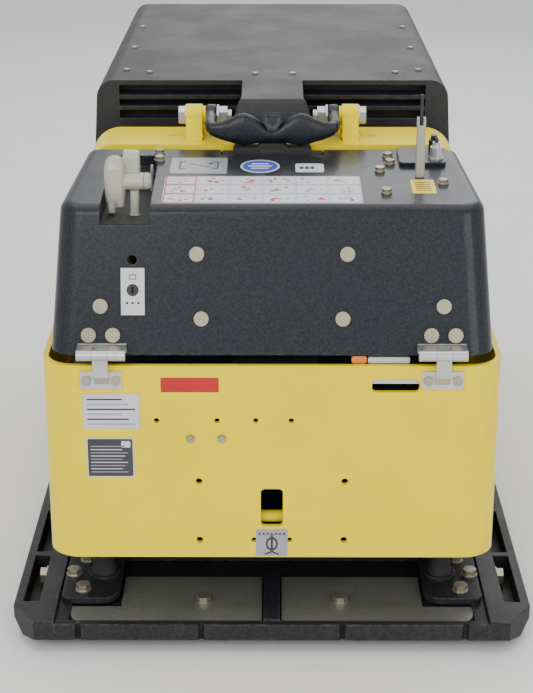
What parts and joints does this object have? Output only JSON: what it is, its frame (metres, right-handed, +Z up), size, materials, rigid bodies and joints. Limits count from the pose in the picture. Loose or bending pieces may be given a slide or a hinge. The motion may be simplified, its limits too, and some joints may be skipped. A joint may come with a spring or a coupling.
{
  "type": "plate compactor",
  "caption": "Remote-controlled reversible plate compactor with guarded frame, hinged front hood, fixed engine hood, lifting bail and sprung deck over a vibrating base plate.",
  "frame": {"origin": "on the ground under the middle of the base plate", "axes": "+X right, +Y from the hinged front hood towards the engine hood, +Z up"},
  "size_m": [0.77, 1.22, 0.786],
  "materials": {
    "cast_base": "black coated casting, worn at the edges",
    "gloss_black": "glossy dark enamel",
    "yellow_paint": "semi-gloss yellow powder coat",
    "hood_dark": "dark blue-grey semi-gloss coat",
    "hood_textured": "dark grey textured coat",
    "zinc": "zinc plated steel",
    "bolt_steel": "zinc plated fasteners",
    "pale_metal": "pale grey cast metal",
    "black_rubber": "black rubber",
    "bail_black": "black forged steel",
    "label_metal": "thin metal plate",
    "black_plastic": "black moulded plastic",
    "raw_iron": "grey casting",
    "machined": "machined steel",
    "engine_grey": "grey engine paint",
    "radiator_alu": "aluminium core"
  },
  "bodies": {
    "chassis": {"base_plate": "cast_base", "pocket_plates": "gloss_black", "pocket_bolts": "bolt_steel", "extension_plate_left": "cast_base", "extension_plate_right": "cast_base", "extension_bolts": "bolt_steel", "buffer_brackets": "cast_base", "bracket_bolts": "bolt_steel", "rubber_buffers": "black_rubber", "buffer_discs": "cast_base", "deck_plate": "cast_base", "guard_front": "yellow_paint", "guard_rear": "yellow_paint", "guard_bolts": "bolt_steel", "lashing_bar": "yellow_paint", "slot_backing": "label_metal", "rating_plates": "label_metal", "hinge_lower_leaves": "zinc", "hinge_pins": "zinc", "lifting_arch": "yellow_paint", "bail_pivot_bolts": "zinc", "bail_rest": "black_rubber", "rear_hood": "hood_textured", "louvre_slats": "hood_dark", "rear_hood_rivets": "bolt_steel", "exciter_housing": "raw_iron", "exciter_lid": "raw_iron", "exciter_bearings": "machined", "exciter_covers": "raw_iron", "drive_belt": "black_rubber", "engine_block": "engine_grey", "cylinder_head": "engine_grey", "engine_mounts": "black_rubber", "muffler": "raw_iron", "radiator": "radiator_alu", "radiator_frame": "cast_base", "fan_motor": "black_plastic", "fuel_tank": "black_plastic", "battery": "black_plastic", "control_box": "black_plastic"},
    "hood": {"front_hood": "hood_dark", "hood_bolts": "bolt_steel", "hinge_upper_leaves": "zinc", "switch_plate": "label_metal", "lever_ear": "pale_metal", "antenna_sleeve": "pale_metal", "antenna_whip": "black_plastic", "antenna_bracket": "hood_dark", "radio_receiver": "black_plastic"},
    "key": {"key_switch": "black_plastic"},
    "latch": {"latch_lever": "pale_metal"},
    "bail": {"lifting_bail": "bail_black"},
    "crank": {"crankshaft": "machined", "flywheel": "raw_iron", "crank_pulley": "raw_iron"},
    "exciter_front": {"exciter_shaft_front": "machined"},
    "exciter_rear": {"exciter_shaft_rear": "machined", "exciter_pulley": "raw_iron"},
    "fan": {"cooling_fan": "black_plastic"},
    "cap": {"fuel_cap": "black_plastic"}
  },
  "joints": [
    {"name": "front_hood_hinge", "type": "hinge", "parent": "chassis", "child": "hood", "pos_m": [0, -0.592, 0.463], "axis": [1, 0, 0], "range_deg": [0, 95]},
    {"name": "latch_lever_turn", "type": "hinge", "parent": "hood", "child": "latch", "pos_m": [-0.1935, -0.475, 0.681], "axis": [-1, 0, 0], "range_deg": [0, 45]},
    {"name": "key_switch_turn", "type": "hinge", "parent": "hood", "child": "key", "pos_m": [-0.1945, -0.54833, 0.544], "axis": [0, -0.9716, 0.2366], "range_deg": [0, 90]},
    {"name": "lifting_bail_pivot", "type": "hinge", "parent": "chassis", "child": "bail", "pos_m": [0, -0.2, 0.712], "axis": [-1, 0, 0], "range_deg": [0, 95]},
    {"name": "crank_spin", "type": "hinge", "parent": "chassis", "child": "crank", "pos_m": [0, 0.375, 0.3], "axis": [1, 0, 0], "continuous": true},
    {"name": "exciter_rear_spin", "type": "hinge", "parent": "chassis", "child": "exciter_rear", "pos_m": [0, 0.06, 0.13], "axis": [1, 0, 0], "continuous": true},
    {"name": "exciter_front_spin", "type": "hinge", "parent": "chassis", "child": "exciter_front", "pos_m": [0, -0.06, 0.13], "axis": [1, 0, 0], "continuous": true},
    {"name": "fan_spin", "type": "hinge", "parent": "chassis", "child": "fan", "pos_m": [0, 0.001, 0.505], "axis": [0, 1, 0], "continuous": true},
    {"name": "fuel_cap_turn", "type": "hinge", "parent": "chassis", "child": "cap", "pos_m": [-0.18, -0.4375, 0.42], "axis": [0, 0, 1], "range_deg": [0, 90]}
  ],
  "couplings": [
    {"joint": "exciter_rear_spin", "follows": "crank_spin", "ratio": 1},
    {"joint": "exciter_front_spin", "follows": "crank_spin", "ratio": -1}
  ]
}
